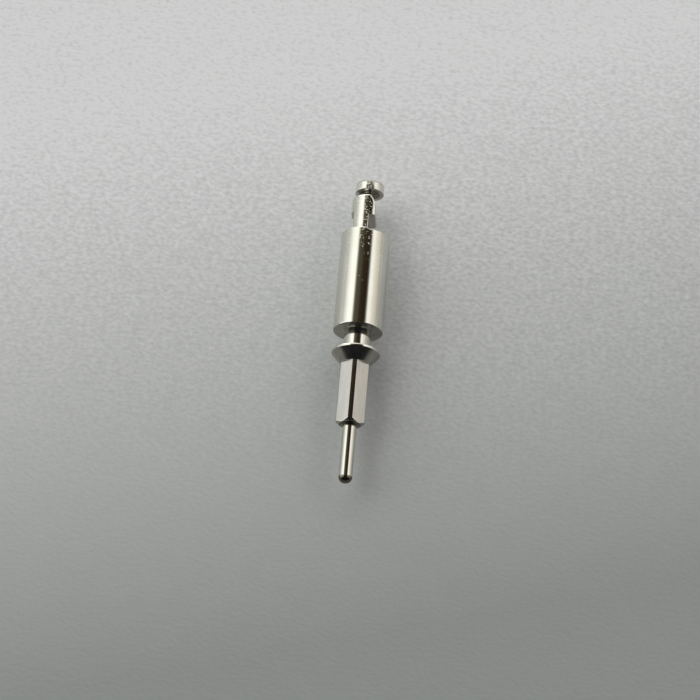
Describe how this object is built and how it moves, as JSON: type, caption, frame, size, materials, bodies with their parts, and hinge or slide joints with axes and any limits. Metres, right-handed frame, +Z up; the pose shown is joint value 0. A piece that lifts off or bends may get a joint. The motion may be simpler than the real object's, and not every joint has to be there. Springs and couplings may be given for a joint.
{
  "type": "watch stem",
  "caption": "Movement half of a two-part watch stem: pilot pivot, driving square, conical flange, setting-lever groove, bearing journal and a hooked coupling end.",
  "frame": {"origin": "on the stem's axis, in the middle of the bearing journal's length", "axes": "+Y along the axis from the pilot pivot to the coupling's guide head; +X the open side of the coupling; +Z up as the stem lies in the picture, through one corner of the square"},
  "size_m": [0.0016, 0.0105, 0.0016],
  "materials": {
    "stem_steel": "polished",
    "hub_steel": "polished"
  },
  "bodies": {
    "root": {"stem": "stem_steel", "coupling_hub": "hub_steel"}
  },
  "joints": []
}
